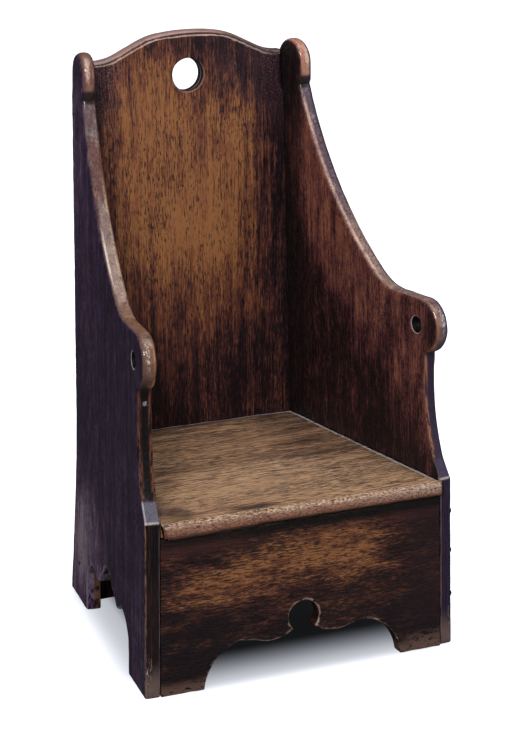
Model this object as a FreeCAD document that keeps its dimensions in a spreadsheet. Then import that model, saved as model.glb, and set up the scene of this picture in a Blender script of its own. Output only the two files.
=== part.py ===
import FreeCAD, Part
import math
import os

import Sketcher

os.makedirs("parts", exist_ok=True)

doc = FreeCAD.newDocument("childs_board_chair")
Vector = FreeCAD.Vector
X_AXIS = Vector(1, 0, 0)
Y_AXIS = Vector(0, 1, 0)
Z_AXIS = Vector(0, 0, 1)

# Driving dimensions, in millimetres and degrees. The chair stands on z = 0, faces -Y,
# and its sides close in towards the back (taper) and towards the top (lean).
DRIVING_SIZES = {
    # side boards, measured along the board: depth from the front edge, height from the floor
    "half_width": 175.0,
    "side_taper": 7.4,
    "side_lean": 1.0,
    "side_thickness": 16.5,
    "side_depth": 336.0,
    "front_foot": 69.5,
    "rear_foot": 79.0,
    "foot_upright": 29.0,
    "step_height": 183.5,
    "step_depth": 13.0,
    "step_rise": 20.0,
    "front_hollow_top": 280.0,
    "arm_height": 370.0,
    "arm_knob_radius": 29.0,
    "arm_knob_setback": 5.5,
    "arm_notch_depth": 27.5,
    "sweep_start": 77.0,
    "sweep_low_radius": 71.0,
    "sweep_low_turn": 36.0,
    "sweep_high_radius": 390.0,
    "ear_height": 609.5,
    "ear_width": 49.0,
    "ear_notch_drop": 47.5,
    "ear_notch_depth": 3.6,
    "ear_notch_rise": 5.0,
    "rear_flare": 35.2,
    "flare_height": 231.0,
    "flare_turn": 12.0,
    "rod_hole_setback": 4.5,
    "rod_hole_drop": 29.5,
    "rod_hole_radius": 8.4,
    # lobed arch in the foot of each side board, about a middle that stands nearer the front
    "side_arch_shift": 3.0,
    "side_arch_span_share": 0.6507,
    "side_lobe_span_share": 0.4053,
    "side_cusp_span_share": 0.2133,
    "side_arch_height": 62.0,
    "side_foot_radius": 34.0,
    "side_lobe_height": 54.5,
    "side_lobe_radius": 31.0,
    "side_hollow_radius": 26.0,
    "side_cusp_height": 68.0,
    "side_eye_top": 83.0,
    # back board
    "back_setback": 20.3,
    "back_thickness": 16.0,
    "shoulder_drop": 12.5,
    "shoulder_radius": 60.0,
    "crest_rise": 27.0,
    "crest_radius": 240.0,
    "crest_turn": 8.0,
    "crest_flank_radius": 80.0,
    "crest_flank_turn": 26.0,
    "crest_offset": 2.0,
    "hand_hole_drop": 20.5,
    "hand_hole_radius": 17.2,
    # seat board
    "seat_height": 183.2,
    "seat_thickness": 16.7,
    "seat_rise": 6.0,
    "seat_overhang": 8.5,
    "seat_end_gap": 0.6,
    "nosing_top_round": 5.0,
    "nosing_under_round": 8.0,
    # apron between the front feet
    "apron_thickness": 16.0,
    "apron_arch_half_span": 110.5,
    "apron_foot_radius": 51.0,
    "apron_apex_half_span": 71.0,
    "apron_arch_height": 45.5,
    "apron_lobe_half_span": 52.0,
    "apron_lobe_height": 42.5,
    "apron_lobe_radius": 41.0,
    "apron_cusp_half_gap": 11.0,
    "apron_cusp_height": 48.5,
    "apron_eye_radius": 16.5,
    # battens under the seat
    "bearer_width": 22.0,
    "bearer_height": 20.0,
    "bearer_end_gap": 2.0,
    # wrought nails with flattened rose heads
    "nail_length": 44.0,
    "short_nail_length": 33.0,
    "nail_head_radius": 3.8,
    "nail_crown_radius": 2.2,
    "nail_head_height": 1.6,
    "nail_head_sink": 1.1,
    "nail_shank": 3.2,
    "nail_tip": 1.4,
    # how far a cutting shape runs past what it cuts
    "overrun": 5.0,
}

# Places worked out from the driving dimensions, as sheet formulas.
WORKED_OUT_SIZES = {
    "depth_overall": "side_depth * cos(side_taper) + seat_overhang",
    "front_line": "seat_overhang - depth_overall / 2",
    "wood_skew": "side_thickness * sin(side_taper)",
    "rear_edge": "side_depth - rear_flare",
    "back_front": "rear_edge - back_setback",
    "lean_slope": "tan(side_lean) / cos(side_taper)",
    "sink": "-overrun",
    "cutter_reach": "2 * (side_depth + ear_height)",
    # side board outline
    "step_top": "step_height + step_rise",
    "front_hollow_width": "arm_notch_depth - step_depth",
    "front_hollow_radius": "(front_hollow_width ^ 2 + (front_hollow_top - step_top) ^ 2)"
                           " / (2 * front_hollow_width)",
    "knob_mid_depth": "arm_knob_setback + arm_knob_radius",
    "knob_mid_height": "arm_height - arm_knob_radius",
    "rod_hole_depth": "knob_mid_depth + rod_hole_setback",
    "rod_hole_height": "arm_height - rod_hole_drop",
    "arm_notch_height": "knob_mid_height - sqrt(arm_knob_radius ^ 2 - (knob_mid_depth - arm_notch_depth) ^ 2)",
    "sweep_join_depth": "sweep_start + sweep_low_radius * sin(sweep_low_turn)",
    "sweep_join_height": "arm_height + sweep_low_radius * (1 - cos(sweep_low_turn))",
    "ear_radius": "ear_width / 2",
    "ear_front": "rear_edge - ear_width",
    "ear_mid_depth": "rear_edge - ear_radius",
    "ear_mid_height": "ear_height - ear_radius",
    "ear_notch_height": "ear_height - ear_notch_drop",
    "ear_notch_inner": "ear_front + ear_notch_depth",
    "ear_lip_height": "ear_notch_height + ear_notch_rise",
    "flare_radius": "(rear_flare - flare_height * tan(flare_turn))"
                    " / (1 - 1 / cos(flare_turn))",
    "flare_end_depth": "rear_edge + flare_radius * (1 - cos(flare_turn))",
    "flare_end_height": "flare_height - flare_radius * sin(flare_turn)",
    # side arch between the two feet
    "rear_foot_front": "side_depth - rear_foot",
    "side_arch_middle": "(rear_foot_front + front_foot) / 2 - side_arch_shift",
    "side_arch_space": "(rear_foot_front - front_foot) / 2",
    "side_arch_half_span": "side_arch_space * side_arch_span_share",
    "side_lobe_half_span": "side_arch_space * side_lobe_span_share",
    "side_cusp_half_gap": "side_arch_space * side_cusp_span_share",
    "side_arch_front": "side_arch_middle - side_arch_half_span",
    "side_arch_rear": "side_arch_middle + side_arch_half_span",
    "side_lobe_front": "side_arch_middle - side_lobe_half_span",
    "side_lobe_rear": "side_arch_middle + side_lobe_half_span",
    "side_cusp_front": "side_arch_middle - side_cusp_half_gap",
    "side_cusp_rear": "side_arch_middle + side_cusp_half_gap",
    "side_eye_rise": "side_eye_top - side_cusp_height",
    "side_eye_radius": "(side_cusp_half_gap ^ 2 + side_eye_rise ^ 2) / (2 * side_eye_rise)",
    # back board outline
    "shoulder_height": "ear_height - shoulder_drop",
    "hand_hole_height": "shoulder_height - hand_hole_drop",
    "crest_height": "shoulder_height + crest_rise",
    "crest_top_span": "crest_radius * sin(crest_turn)",
    "crest_top_fall": "crest_radius * (1 - cos(crest_turn))",
    "crest_flank_span": "crest_top_span + crest_flank_radius * (sin(crest_flank_turn) - sin(crest_turn))",
    "crest_flank_fall": "crest_top_fall + crest_flank_radius * (cos(crest_turn) - cos(crest_flank_turn))",
    "crest_foot_rise": "shoulder_radius * (1 - cos(crest_flank_turn))",
    "crest_foot_span": "crest_flank_span"
                       " + (crest_rise - crest_flank_fall - crest_foot_rise) / tan(crest_flank_turn)",
    "crest_span": "crest_foot_span + shoulder_radius * sin(crest_flank_turn)",
    "crest_top_height": "crest_height - crest_top_fall",
    "crest_flank_height": "crest_height - crest_flank_fall",
    "crest_foot_height": "shoulder_height + crest_foot_rise",
    "crest_left": "crest_offset - crest_span",
    "crest_foot_left": "crest_offset - crest_foot_span",
    "crest_flank_left": "crest_offset - crest_flank_span",
    "crest_top_left": "crest_offset - crest_top_span",
    "crest_top_right": "crest_offset + crest_top_span",
    "crest_flank_right": "crest_offset + crest_flank_span",
    "crest_foot_right": "crest_offset + crest_foot_span",
    "crest_right": "crest_offset + crest_span",
    # seat, apron and bearers
    "seat_under": "seat_height - seat_thickness",
    "seat_depth": "back_front + seat_overhang",
    "seat_length": "2 * half_width",
    "seat_rear_thickness": "seat_thickness + seat_rise",
    "seat_middle": "seat_height - seat_thickness / 2",
    "apron_front": "-wood_skew",
    "apron_rear": "apron_front + apron_thickness",
    "apron_eye_height": "apron_cusp_height + sqrt(apron_eye_radius ^ 2 - apron_cusp_half_gap ^ 2)",
    "apron_eye_top": "apron_eye_height + apron_eye_radius",
    "bearer_reach": "side_thickness + bearer_width",
    "bearer_start": "(apron_rear + bearer_end_gap + bearer_reach * sin(side_taper)) / cos(side_taper)",
    "bearer_end": "(back_front - bearer_end_gap + wood_skew) / cos(side_taper)",
    "bearer_length": "bearer_end - bearer_start",
    "bearer_floor": "seat_under - bearer_height",
}

sheet = doc.addObject("Spreadsheet::Sheet", "Sizes")
row = 0
for alias in [*DRIVING_SIZES, *WORKED_OUT_SIZES]:
    row += 1
    sheet.set("A%d" % row, alias)
    sheet.setAlias("B%d" % row, alias)
row = 0
for alias, value in DRIVING_SIZES.items():
    row += 1
    sheet.set("B%d" % row, str(value))
for alias, formula in WORKED_OUT_SIZES.items():
    row += 1
    sheet.set("B%d" % row, "=" + formula)
doc.recompute()


def size(alias):
    """The value of one cell of the sheet."""
    return float(sheet.get(alias))


def bind(feature, **formulas):
    """Bind properties of a feature to the sheet."""
    for name, formula in formulas.items():
        feature.setExpression(name, formula)


def origin_plane(body, role):
    for plane in body.Origin.OriginFeatures:
        if plane.Role == role:
            return plane


def new_body(name, role):
    """A body with one sketch on the named plane of its own origin."""
    body = doc.addObject("PartDesign::Body", name)
    sketch = add_sketch(body, name + "_outline", role)
    return body, sketch


def add_sketch(body, name, role):
    sketch = body.newObject("Sketcher::SketchObject", name)
    sketch.AttachmentSupport = [(origin_plane(body, role), "")]
    sketch.MapMode = "FlatFace"
    return sketch


def coordinate(term):
    """A signed alias such as -half_width as a number; 0 stays 0."""
    if term == 0:
        return 0.0
    if term.startswith("-"):
        return -size(term[1:])
    return size(term)


def expression(term):
    """The same signed alias as a formula."""
    if term.startswith("-"):
        return "-Sizes." + term[1:]
    return "Sizes." + term


def pin(geometry, end, point):
    """Constraints, each with its formula, that hold an end or a centre where the sheet says."""
    held = []
    for kind, axis, term in (("DistanceX", -2, point[0]), ("DistanceY", -1, point[1])):
        if term == 0:
            held.append((Sketcher.Constraint("PointOnObject", geometry, end, axis), None))
        else:
            distance = Sketcher.Constraint(kind, -1, 1, geometry, end, coordinate(term))
            held.append((distance, expression(term)))
    return held


def constrain(sketch, held):
    """Add all constraints in one call, so that no arc can flip, then bind them to the sheet."""
    indices = sketch.addConstraint([constraint for constraint, formula in held])
    for index, (constraint, formula) in zip(indices, held):
        if formula:
            sketch.setExpression("Constraints[%d]" % index, formula)


def draw_outline(sketch, start, steps):
    """A closed outline of lines and arcs.

    Each step is (end point,) for a line or (end point, radius, turn) for an arc, where turn
    is 1 for an arc that runs anticlockwise and -1 for one that runs clockwise.
    """
    terms = [start] + [step[0] for step in steps]
    points = [Vector(coordinate(x), coordinate(y), 0) for x, y in terms]
    ends = []
    held = []
    for number, step in enumerate(steps):
        first, last = points[number:number + 2]
        if len(step) == 1:
            sketch.addGeometry(Part.LineSegment(first, last))
            ends.append((1, 2))
            continue
        radius, turn = step[1:]
        chord = last - first
        sagitta = size(radius) - math.sqrt(size(radius) ** 2 - chord.Length ** 2 / 4)
        outward = Vector(chord.y, -chord.x, 0).normalize() * turn
        middle = (first + last) / 2 + outward * sagitta
        sketch.addGeometry(Part.Arc(first, middle, last))
        # a sketch keeps its arcs anticlockwise
        ends.append((1, 2) if turn == 1 else (2, 1))
        held.append((Sketcher.Constraint("Radius", number, size(radius)), "Sizes." + radius))
    for number in range(len(steps)):
        after = (number + 1) % len(steps)
        joint = Sketcher.Constraint("Coincident", number, ends[number][1], after, ends[after][0])
        held.append((joint, None))
        held += pin(number, ends[number][0], terms[number])
    constrain(sketch, held)


def draw_circle(sketch, centre, radius):
    """A circle at a point that the sheet gives."""
    middle = Vector(coordinate(centre[0]), coordinate(centre[1]), 0)
    number = sketch.addGeometry(Part.Circle(middle, Z_AXIS, size(radius)))
    across = Sketcher.Constraint("Radius", number, size(radius))
    constrain(sketch, [(across, "Sizes." + radius)] + pin(number, 3, centre))


def pad(body, sketch, thickness, backwards):
    feature = body.newObject("PartDesign::Pad", body.Name + "_pad")
    feature.Profile = sketch
    feature.Reversed = backwards
    bind(feature, Length="Sizes." + thickness)
    return feature


def cut_through(body, sketch):
    """A pocket that runs through the whole board, both ways from its sketch."""
    feature = body.newObject("PartDesign::Pocket", sketch.Name + "_cut")
    feature.Profile = sketch
    feature.Type = "ThroughAll"
    feature.Midplane = True
    return feature


def cut(name, base, tool):
    feature = doc.addObject("Part::Cut", name)
    feature.Base = base
    feature.Tool = tool
    return feature


def group(name, members):
    feature = doc.addObject("Part::Compound", name)
    feature.Links = members
    return feature


def box(name, placement, length, width, height):
    feature = doc.addObject("Part::Box", name)
    feature.Placement = placement
    bind(feature, Length=length, Width=width, Height=height)
    return feature


def at(x, y, z, rotation=FreeCAD.Rotation()):
    return FreeCAD.Placement(Vector(x, y, z), rotation)


FRONT = size("front_line")
REACH = size("cutter_reach")
# the left side is at -X; on each hand the board's outer face passes through the front corner
HANDS = {"left": -1, "right": 1}


def side_frame(hand, leaning=True):
    """Frame of a side board: X square to the board, Y along it to the back, Z up it."""
    turn = FreeCAD.Rotation(Z_AXIS, HANDS[hand] * size("side_taper"))
    lean = FreeCAD.Rotation(Y_AXIS, -HANDS[hand] * size("side_lean"))
    corner = Vector(HANDS[hand] * size("half_width"), FRONT, 0)
    return FreeCAD.Placement(corner, turn * lean if leaning else turn)


def outer_face(hand, y, z):
    """X of a side board's outer face at a depth behind the front line and a height."""
    inward = y * math.tan(math.radians(size("side_taper"))) + z * size("lean_slope")
    return HANDS[hand] * (size("half_width") - inward)


# Nails: tapered square shank under a low round head, pointing along +X from the wood's face.
def make_nail(name, length):
    head = doc.addObject("Part::Cone", name + "_head")
    bind(head, Radius1="Sizes.nail_crown_radius", Radius2="Sizes.nail_head_radius",
         Height="Sizes.nail_head_height")
    along = FreeCAD.Rotation(Y_AXIS, 90)
    head.Placement = at(size("nail_head_sink") - size("nail_head_height"), 0, 0, along)
    shank = doc.addObject("Part::Wedge", name + "_shank")
    bind(shank, Xmin="-Sizes.nail_shank / 2", Xmax="Sizes.nail_shank / 2",
         Zmin="-Sizes.nail_shank / 2", Zmax="Sizes.nail_shank / 2",
         X2min="-Sizes.nail_tip / 2", X2max="Sizes.nail_tip / 2",
         Z2min="-Sizes.nail_tip / 2", Z2max="Sizes.nail_tip / 2",
         Ymin="Sizes.nail_head_sink - Sizes.nail_head_height / 2", Ymax="Sizes." + length)
    shank.Placement = at(0, 0, 0, FreeCAD.Rotation(Z_AXIS, -90))
    nail = doc.addObject("Part::Fuse", name)
    nail.Base = head
    nail.Tool = shank
    return nail


def drive_nails(name, nail, placements):
    """One node of separate nails, each a copy of the same one."""
    links = []
    for number, placement in enumerate(placements):
        link = doc.addObject("App::Link", "%s_%d" % (name, number + 1))
        link.LinkedObject = nail
        link.Placement = placement
        links.append(link)
    return group(name, links)


long_nail = make_nail("long_nail", "nail_length")
short_nail = make_nail("short_nail", "short_nail_length")

# where the nails stand, as shares of the piece that they hold
BACK_NAIL_HEIGHT_SHARES = (0.07, 0.22, 0.42, 0.65, 0.87)
APRON_NAIL_HEIGHT_SHARES = (0.33, 0.62, 0.88)
SEAT_NAIL_DEPTH_SHARES = (0.13, 0.53, 0.93)
BEARER_NAIL_SHARES = (0.12, 0.5, 0.88)
REAR_NAIL_WIDTH_SHARES = (-0.33, 0, 0.33)

back_middle = size("back_front") + size("back_thickness") / 2
apron_middle = (size("apron_front") + size("apron_rear")) / 2
bearer_middle = (size("bearer_floor") + size("seat_under")) / 2
nail_groups = []
for hand in HANDS:
    inward = FreeCAD.Rotation(Z_AXIS, 90 + HANDS[hand] * 90)
    outward = FreeCAD.Rotation(Z_AXIS, 90 - HANDS[hand] * 90)

    def from_outside(y, z):
        return at(outer_face(hand, y, z), FRONT + y, z, inward)

    def from_bearer(share):
        along = size("bearer_start") + share * size("bearer_length")
        y = along * math.cos(math.radians(size("side_taper")))
        depth = size("bearer_reach") / math.cos(math.radians(size("side_taper")))
        face = outer_face(hand, y, 0) - HANDS[hand] * depth
        return at(face, FRONT + y, bearer_middle, outward)

    back_nails = [from_outside(back_middle, share * size("crest_height"))
                  for share in BACK_NAIL_HEIGHT_SHARES]
    apron_nails = [from_outside(apron_middle, share * size("seat_under"))
                   for share in APRON_NAIL_HEIGHT_SHARES]
    seat_nails = [from_outside(share * size("back_front"), size("seat_middle"))
                  for share in SEAT_NAIL_DEPTH_SHARES]
    bearer_nails = [from_bearer(share) for share in BEARER_NAIL_SHARES]
    nail_groups += [
        drive_nails(hand + "_back_nails", long_nail, back_nails),
        drive_nails(hand + "_apron_nails", long_nail, apron_nails),
        drive_nails(hand + "_seat_nails", long_nail, seat_nails),
        drive_nails(hand + "_bearer_nails", short_nail, bearer_nails),
    ]
rear_face = FRONT + size("back_front") + size("back_thickness")
rear_nails = [at(share * size("half_width"), rear_face, size("seat_middle"),
                 FreeCAD.Rotation(Z_AXIS, -90)) for share in REAR_NAIL_WIDTH_SHARES]
nail_groups.append(drive_nails("rear_seat_nails", long_nail, rear_nails))
all_nails = group("all_nails", nail_groups)

# Shared cutting shapes: the floor, the rod that was drilled through both arms in one line,
# and the space outside each side board's inner face.
floor_block = box("floor_block", at(-REACH / 2, -REACH / 2, -REACH),
                  "Sizes.cutter_reach", "Sizes.cutter_reach", "Sizes.cutter_reach")
rod = doc.addObject("Part::Cylinder", "rod_drill")
bind(rod, Radius="Sizes.rod_hole_radius", Height="Sizes.cutter_reach")
rod_line = size("rod_hole_depth") * math.cos(math.radians(size("side_taper")))
rod.Placement = at(-REACH / 2, FRONT + rod_line, size("rod_hole_height"),
                   FreeCAD.Rotation(Y_AXIS, 90))


def outside_block(name, hand, gap):
    """Everything beyond the inner face of a side board, and a gap more."""
    inset = size("side_thickness") + gap
    start = inset - REACH if hand == "left" else -inset
    local = at(start, -REACH / 2, -REACH / 2)
    return box(name, side_frame(hand) * local,
               "Sizes.cutter_reach", "Sizes.cutter_reach", "Sizes.cutter_reach")


def outside_blocks(name, gap):
    return group(name, [outside_block(name + "_" + hand, hand, gap) for hand in HANDS])


beyond_sides = outside_blocks("beyond_sides", 0)
beyond_seat_ends = outside_blocks("beyond_seat_ends", size("seat_end_gap"))


# Side boards: one wide plank each, grain upright, sawn to an arm with a round knob, a long
# sweep up to a round ear, a stepped front edge and a lobed arch between two feet.
def make_side(hand):
    name = hand + "_side"
    body, outline = new_body(name, "YZ_Plane")
    draw_outline(outline, (0, "sink"), [
        ((0, "step_height"),),
        (("step_depth", "step_top"),),
        (("arm_notch_depth", "front_hollow_top"), "front_hollow_radius", 1),
        (("arm_notch_depth", "arm_notch_height"),),
        (("knob_mid_depth", "arm_height"), "arm_knob_radius", -1),
        (("sweep_start", "arm_height"),),
        (("sweep_join_depth", "sweep_join_height"), "sweep_low_radius", 1),
        (("ear_notch_inner", "ear_notch_height"), "sweep_high_radius", 1),
        (("ear_front", "ear_lip_height"),),
        (("ear_front", "ear_mid_height"),),
        (("ear_mid_depth", "ear_height"), "ear_radius", -1),
        (("rear_edge", "ear_mid_height"), "ear_radius", -1),
        (("rear_edge", "flare_height"),),
        (("flare_end_depth", "flare_end_height"), "flare_radius", 1),
        (("side_depth", 0),),
        (("side_depth", "sink"),),
        ((0, "sink"),),
    ])
    pad(body, outline, "side_thickness", hand == "right")
    arch = add_sketch(body, name + "_arch", "YZ_Plane")
    draw_side_arch(arch)
    doc.recompute()
    whole = body.Shape.Volume
    cut_through(body, arch)
    doc.recompute()
    if body.Shape.Volume >= whole:
        raise ValueError(name + " has no arch")
    body.Placement = side_frame(hand)
    shaped = cut(name + "_on_floor", body, group(name + "_cutters", [floor_block, rod]))
    return cut(name + "_board", shaped, all_nails)


def draw_side_arch(sketch):
    """Two feet and, between them, an arch of two lobes with a round eye in the middle."""
    draw_outline(sketch, ("front_foot", "sink"), [
        (("front_foot", "foot_upright"),),
        (("side_arch_front", "side_arch_height"), "side_foot_radius", -1),
        (("side_lobe_front", "side_lobe_height"), "side_lobe_radius", 1),
        (("side_cusp_front", "side_cusp_height"), "side_hollow_radius", -1),
        (("side_cusp_rear", "side_cusp_height"), "side_eye_radius", -1),
        (("side_lobe_rear", "side_lobe_height"), "side_hollow_radius", -1),
        (("side_arch_rear", "side_arch_height"), "side_lobe_radius", 1),
        (("rear_foot_front", "foot_upright"), "side_foot_radius", -1),
        (("rear_foot_front", "sink"),),
        (("front_foot", "sink"),),
    ])


# Back board: one plank, grain upright, standing on the floor between the sides, with a
# double-curved crest and a round hand hole.
def make_back():
    body, outline = new_body("back", "XZ_Plane")
    draw_outline(outline, ("-half_width", 0), [
        (("half_width", 0),),
        (("half_width", "shoulder_height"),),
        (("crest_right", "shoulder_height"),),
        (("crest_foot_right", "crest_foot_height"), "shoulder_radius", -1),
        (("crest_flank_right", "crest_flank_height"),),
        (("crest_top_right", "crest_top_height"), "crest_flank_radius", 1),
        (("crest_top_left", "crest_top_height"), "crest_radius", 1),
        (("crest_flank_left", "crest_flank_height"), "crest_flank_radius", 1),
        (("crest_foot_left", "crest_foot_height"),),
        (("crest_left", "shoulder_height"), "shoulder_radius", -1),
        (("-half_width", "shoulder_height"),),
        (("-half_width", 0),),
    ])
    draw_circle(outline, (0, "hand_hole_height"), "hand_hole_radius")
    pad(body, outline, "back_thickness", True)
    body.Placement = at(0, FRONT + size("back_front"), 0)
    between = cut("back_between_sides", body, beyond_sides)
    return cut("back_board", between, all_nails)


# Apron: grain level, flush with the front edges of the sides, its lobed arch between two feet.
def make_apron():
    body, outline = new_body("apron", "XZ_Plane")
    draw_outline(outline, ("-half_width", 0), [
        (("half_width", 0),),
        (("half_width", "seat_under"),),
        (("-half_width", "seat_under"),),
        (("-half_width", 0),),
    ])
    pad(body, outline, "apron_thickness", True)
    arch = add_sketch(body, "apron_arch", "XZ_Plane")
    draw_outline(arch, ("-apron_arch_half_span", "sink"), [
        (("apron_arch_half_span", "sink"),),
        (("apron_arch_half_span", 0),),
        (("apron_apex_half_span", "apron_arch_height"), "apron_foot_radius", 1),
        (("apron_lobe_half_span", "apron_lobe_height"),),
        (("apron_cusp_half_gap", "apron_cusp_height"), "apron_lobe_radius", -1),
        ((0, "apron_eye_top"), "apron_eye_radius", 1),
        (("-apron_cusp_half_gap", "apron_cusp_height"), "apron_eye_radius", 1),
        (("-apron_lobe_half_span", "apron_lobe_height"), "apron_lobe_radius", -1),
        (("-apron_apex_half_span", "apron_arch_height"),),
        (("-apron_arch_half_span", 0), "apron_foot_radius", 1),
        (("-apron_arch_half_span", "sink"),),
    ])
    doc.recompute()
    whole = body.Shape.Volume
    cut_through(body, arch)
    doc.recompute()
    if body.Shape.Volume >= whole:
        raise ValueError("the apron has no arch")
    body.Placement = at(0, FRONT + size("apron_front"), 0)
    between = cut("apron_between_sides", body, beyond_sides)
    return cut("front_apron", between, all_nails)


# Seat: one board, grain level, let in between the sides, resting on the apron and on the two
# battens, its top rising a little to the back and its rounded front edge standing out over the
# apron.
def make_seat():
    body, outline = new_body("seat", "YZ_Plane")
    draw_outline(outline, (0, 0), [
        (("seat_depth", 0),),
        (("seat_depth", "seat_rear_thickness"),),
        ((0, "seat_thickness"),),
        ((0, 0),),
    ])
    plank = pad(body, outline, "seat_length", False)
    doc.recompute()
    for name, height, radius in (("under", 0, "nosing_under_round"),
                                 ("top", size("seat_thickness"), "nosing_top_round")):
        edge = front_edge(plank.Shape, height)
        rounded = body.newObject("PartDesign::Fillet", "nosing_" + name)
        rounded.Base = (plank, [edge])
        bind(rounded, Radius="Sizes." + radius)
        doc.recompute()
        plank = rounded
    body.Placement = at(-size("half_width"), FRONT - size("seat_overhang"), size("seat_under"))
    between = cut("seat_between_sides", body, beyond_seat_ends)
    return cut("seat_board", between, all_nails)


def front_edge(shape, height):
    """Name of the long edge at the front of the seat plank, at a height in the plank."""
    for number, edge in enumerate(shape.Edges):
        middle = edge.CenterOfMass - Vector(size("half_width"), 0, height)
        if middle.Length < size("seat_end_gap") / 2:
            return "Edge%d" % (number + 1)
    raise ValueError("the seat has no front edge")


# Bearers: a batten nailed along the foot of each side, under the ends of the seat.
def make_bearer(hand):
    reach = size("bearer_reach")
    start = 0 if hand == "left" else -reach
    local = at(start, size("bearer_start"), size("bearer_floor"))
    batten = box(hand + "_batten", side_frame(hand, leaning=False) * local,
                 "Sizes.bearer_reach", "Sizes.bearer_length", "Sizes.bearer_height")
    fitted = cut(hand + "_batten_on_side", batten, beyond_sides)
    return cut(hand + "_seat_bearer", fitted, all_nails)


boards = [make_side(hand) for hand in HANDS]
boards += [make_back(), make_seat(), make_apron()]
boards += [make_bearer(hand) for hand in HANDS]

doc.recompute()
for item in doc.Objects:
    if "Invalid" in item.State or "Error" in item.State:
        raise ValueError("%s failed: %s" % (item.Name, item.State))
for piece in boards + nail_groups:
    piece.Label = piece.Name
    shape = piece.Shape
    if shape.isNull() or not shape.isValid():
        raise ValueError("bad shape: " + piece.Label)
    shape.exportStep("parts/%s.step" % piece.Label)
    print("%s: %d solids, %.1f cm3" % (piece.Label, len(shape.Solids), shape.Volume / 1000))
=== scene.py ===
import math

import bmesh
import bpy
from mathutils import Matrix, Vector, kdtree, noise
from mathutils.bvhtree import BVHTree


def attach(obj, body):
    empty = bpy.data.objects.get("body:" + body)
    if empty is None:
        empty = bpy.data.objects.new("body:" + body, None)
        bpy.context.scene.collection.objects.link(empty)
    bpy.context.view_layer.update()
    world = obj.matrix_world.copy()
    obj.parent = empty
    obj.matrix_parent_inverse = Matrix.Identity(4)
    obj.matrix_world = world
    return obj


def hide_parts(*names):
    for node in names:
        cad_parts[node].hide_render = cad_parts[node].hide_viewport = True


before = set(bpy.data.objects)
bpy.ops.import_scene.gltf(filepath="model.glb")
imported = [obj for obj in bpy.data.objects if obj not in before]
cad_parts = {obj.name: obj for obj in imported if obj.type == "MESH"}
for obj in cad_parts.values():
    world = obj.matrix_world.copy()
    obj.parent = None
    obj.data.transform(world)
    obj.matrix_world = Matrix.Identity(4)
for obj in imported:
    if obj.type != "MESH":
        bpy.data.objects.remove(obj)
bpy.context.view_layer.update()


# Left and right side boards: one wide board each, sawn to a round arm, a long sweep and a
# round ear, with a lobed arch between two feet. They narrow to the back, lean in a little
# and hold every other board by nails.
MM = 0.001
FRONT = -162.351
HALF_WIDTH = 175
SIDE_TAPER = math.radians(7.4)
SIDE_LEAN = math.radians(1.0)
SIDE_THICKNESS = 16.5
NAIL_GROUPS = [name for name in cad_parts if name.endswith("_nails")]
ARRIS_ANGLE = math.radians(28)
FLAT_ANGLE = math.radians(0.6)
LONGEST_ARRIS = 14
WIDEST_BEVEL = 10
PLANED_WAVE = 45
CHIP_LENGTH = 11
CHIP_REACH = 5
ROD_HOLE = (39, 340.5)
ARM_FOOT = 300
EAR_FOOT = 570


def close_nail_holes(bm):
    """Takes the walls of the nail holes out of a board's skin and closes the openings over."""
    trees = []
    for name in NAIL_GROUPS:
        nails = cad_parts[name].data
        corners = [v.co for v in nails.vertices]
        trees.append(BVHTree.FromPolygons(corners, [p.vertices for p in nails.polygons]))
    walls = []
    for face in bm.faces:
        middle = face.calc_center_median()
        for tree in trees:
            if tree.find_nearest(middle, 0.06 * MM)[0] is not None:
                walls.append(face)
                break
    bmesh.ops.delete(bm, geom=walls, context="FACES")
    rims = [e for e in bm.edges if e.is_boundary]
    bmesh.ops.holes_fill(bm, edges=rims, sides=0)


def is_arris(edge):
    return len(edge.link_faces) == 2 and edge.calc_face_angle() > ARRIS_ANGLE


def no_wear(p):
    return Vector((0, 0, 0))


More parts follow.
